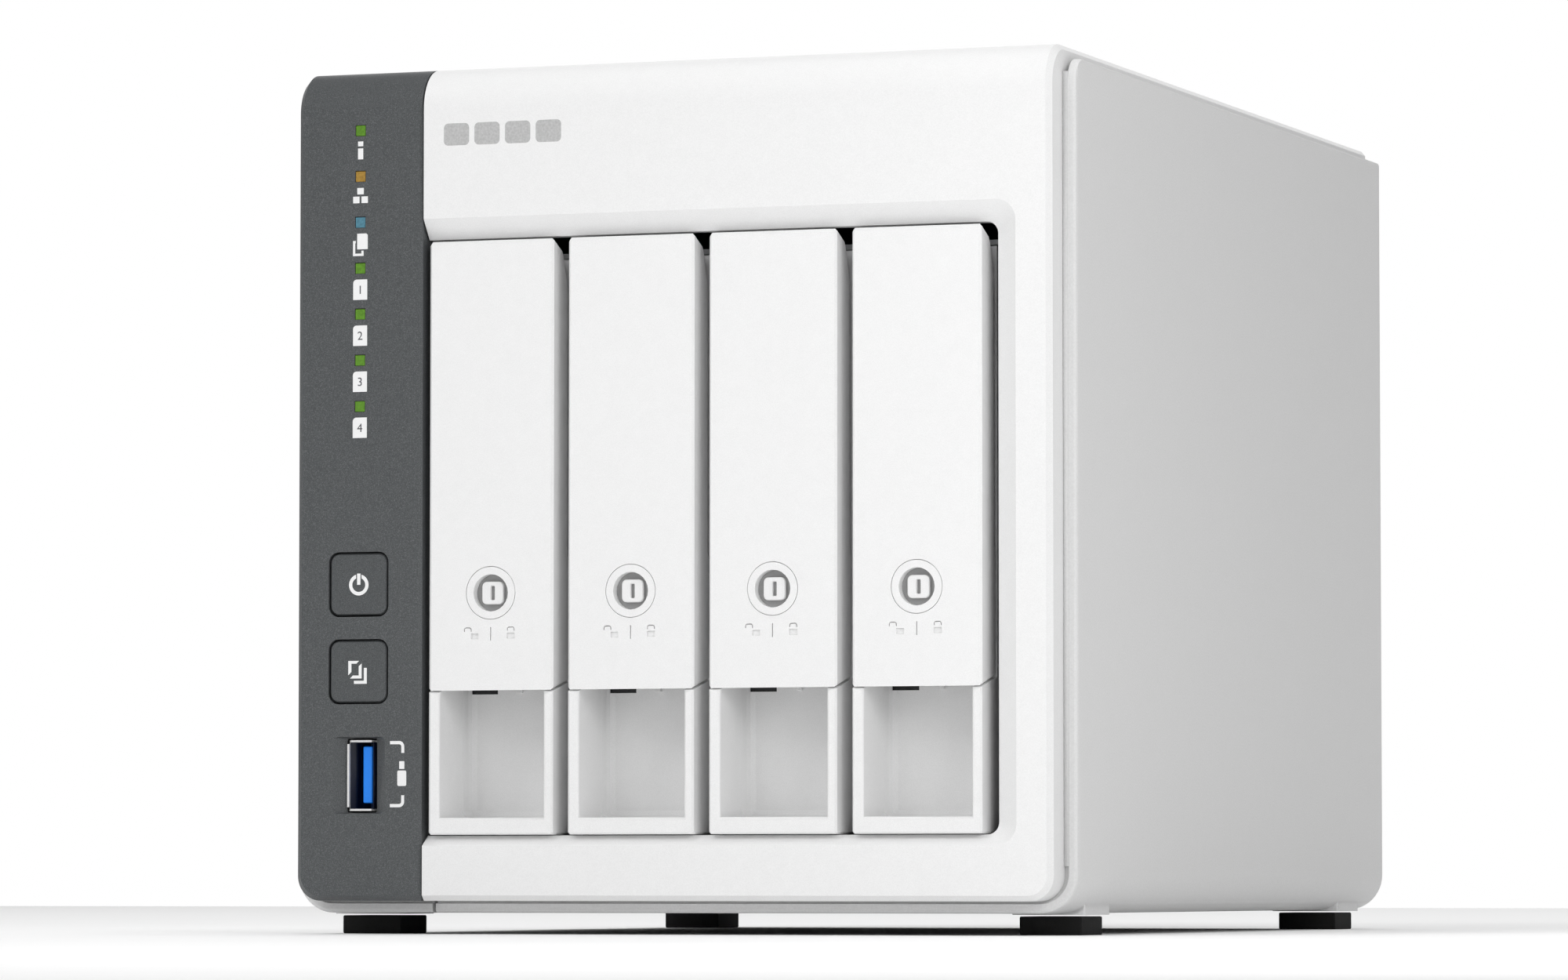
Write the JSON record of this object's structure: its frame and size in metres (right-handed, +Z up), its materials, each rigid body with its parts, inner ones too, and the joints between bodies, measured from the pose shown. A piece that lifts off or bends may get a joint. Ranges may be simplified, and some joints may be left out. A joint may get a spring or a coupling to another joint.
{
  "type": "network attached storage",
  "caption": "Desktop network storage box with vertical drive trays behind hinged, lockable latches, a dark control panel with lamps and buttons, and a rear fan.",
  "frame": {"origin": "on the floor under the middle of the box", "axes": "+X to the right seen from the front, +Y towards the back, +Z up"},
  "size_m": [0.16, 0.219, 0.168],
  "materials": {
    "white": "satin white moulded plastic",
    "case_grey": "fine textured light grey powder coat",
    "panel_grey": "dark grey plastic with a fine metallic fleck",
    "button_grey": "satin dark grey plastic",
    "rubber_black": "matt black rubber",
    "light_pipe_clear": "frosted clear plastic",
    "steel": "plain plated steel",
    "aluminium": "cast and machined aluminium",
    "board_green": "green solder mask",
    "black_plastic": "matt black moulded plastic",
    "usb_blue": "bright blue moulded plastic"
  },
  "bodies": {
    "housing": {"left_cover": "case_grey", "right_cover": "case_grey", "rear_panel": "case_grey", "foot_front_left": "rubber_black", "foot_front_right": "rubber_black", "foot_rear_left": "rubber_black", "foot_rear_right": "rubber_black", "front_bezel": "white", "control_panel": "panel_grey", "light_pipe": "light_pipe_clear", "power_switch": "black_plastic", "copy_switch": "black_plastic", "processor": "black_plastic", "power_inlet": "black_plastic", "fan_frame": "black_plastic", "front_usb_shell": "steel", "cage_left_wall": "steel", "cage_right_wall": "steel", "cage_floor": "steel", "cage_roof": "steel", "lan_port_upper": "steel", "lan_port_lower": "steel", "rear_usb_ports": "steel", "fan_guard": "steel", "rear_screw_1": "steel", "rear_screw_2": "steel", "rear_screw_3": "steel", "rear_screw_4": "steel", "front_usb_tongue": "usb_blue", "mainboard": "board_green", "backplane": "board_green", "heatsink": "aluminium", "sata_socket_1": "black_plastic", "sata_socket_2": "black_plastic", "sata_socket_3": "black_plastic", "sata_socket_4": "black_plastic"},
    "tray_1": {"tray_1": "white", "drive_1": "aluminium", "latch_pin_1": "steel"},
    "tray_latch_1": {"tray_latch_1": "white"},
    "latch_lock_1": {"latch_lock_1": "white"},
    "tray_2": {"tray_2": "white", "drive_2": "aluminium", "latch_pin_2": "steel"},
    "tray_latch_2": {"tray_latch_2": "white"},
    "latch_lock_2": {"latch_lock_2": "white"},
    "tray_3": {"tray_3": "white", "drive_3": "aluminium", "latch_pin_3": "steel"},
    "tray_latch_3": {"tray_latch_3": "white"},
    "latch_lock_3": {"latch_lock_3": "white"},
    "tray_4": {"tray_4": "white", "drive_4": "aluminium", "latch_pin_4": "steel"},
    "tray_latch_4": {"tray_latch_4": "white"},
    "latch_lock_4": {"latch_lock_4": "white"},
    "power_button": {"power_button": "button_grey"},
    "copy_button": {"copy_button": "button_grey"},
    "reset_button": {"reset_button": "black_plastic"},
    "fan_rotor": {"fan_rotor": "black_plastic"}
  },
  "joints": [
    {"name": "tray_1_slide", "type": "slide", "parent": "housing", "child": "tray_1", "axis": [0, -1, 0], "range_m": [0, 0.135]},
    {"name": "latch_1_hinge", "type": "hinge", "parent": "tray_1", "child": "tray_latch_1", "pos_m": [-0.03658, -0.1061, 0.1275], "axis": [-1, 0, 0], "range_deg": [0, 35]},
    {"name": "lock_1_turn", "type": "hinge", "parent": "tray_latch_1", "child": "latch_lock_1", "pos_m": [-0.03658, -0.107, 0.06567], "axis": [0, 1, 0], "range_deg": [0, 90]},
    {"name": "tray_2_slide", "type": "slide", "parent": "housing", "child": "tray_2", "axis": [0, -1, 0], "range_m": [0, 0.135]},
    {"name": "latch_2_hinge", "type": "hinge", "parent": "tray_2", "child": "tray_latch_2", "pos_m": [-0.00762, -0.1061, 0.1275], "axis": [-1, 0, 0], "range_deg": [0, 35]},
    {"name": "lock_2_turn", "type": "hinge", "parent": "tray_latch_2", "child": "latch_lock_2", "pos_m": [-0.00762, -0.107, 0.06567], "axis": [0, 1, 0], "range_deg": [0, 90]},
    {"name": "tray_3_slide", "type": "slide", "parent": "housing", "child": "tray_3", "axis": [0, -1, 0], "range_m": [0, 0.135]},
    {"name": "latch_3_hinge", "type": "hinge", "parent": "tray_3", "child": "tray_latch_3", "pos_m": [0.02134, -0.1061, 0.1275], "axis": [-1, 0, 0], "range_deg": [0, 35]},
    {"name": "lock_3_turn", "type": "hinge", "parent": "tray_latch_3", "child": "latch_lock_3", "pos_m": [0.02134, -0.107, 0.06567], "axis": [0, 1, 0], "range_deg": [0, 90]},
    {"name": "tray_4_slide", "type": "slide", "parent": "housing", "child": "tray_4", "axis": [0, -1, 0], "range_m": [0, 0.135]},
    {"name": "latch_4_hinge", "type": "hinge", "parent": "tray_4", "child": "tray_latch_4", "pos_m": [0.0503, -0.1061, 0.1275], "axis": [-1, 0, 0], "range_deg": [0, 35]},
    {"name": "lock_4_turn", "type": "hinge", "parent": "tray_latch_4", "child": "latch_lock_4", "pos_m": [0.0503, -0.107, 0.06567], "axis": [0, 1, 0], "range_deg": [0, 90]},
    {"name": "power_button_press", "type": "slide", "parent": "housing", "child": "power_button", "axis": [0, 1, 0], "range_m": [0, 0.0008], "stiffness_N_per_m": 300, "springref_m": -0.003},
    {"name": "copy_button_press", "type": "slide", "parent": "housing", "child": "copy_button", "axis": [0, 1, 0], "range_m": [0, 0.0008], "stiffness_N_per_m": 300, "springref_m": -0.003},
    {"name": "reset_button_press", "type": "slide", "parent": "housing", "child": "reset_button", "axis": [0, -1, 0], "range_m": [0, 0.0008], "stiffness_N_per_m": 300, "springref_m": -0.003},
    {"name": "fan_spin", "type": "hinge", "parent": "housing", "child": "fan_rotor", "pos_m": [0.012, 0.0905, 0.084], "axis": [0, 1, 0], "continuous": true}
  ]
}
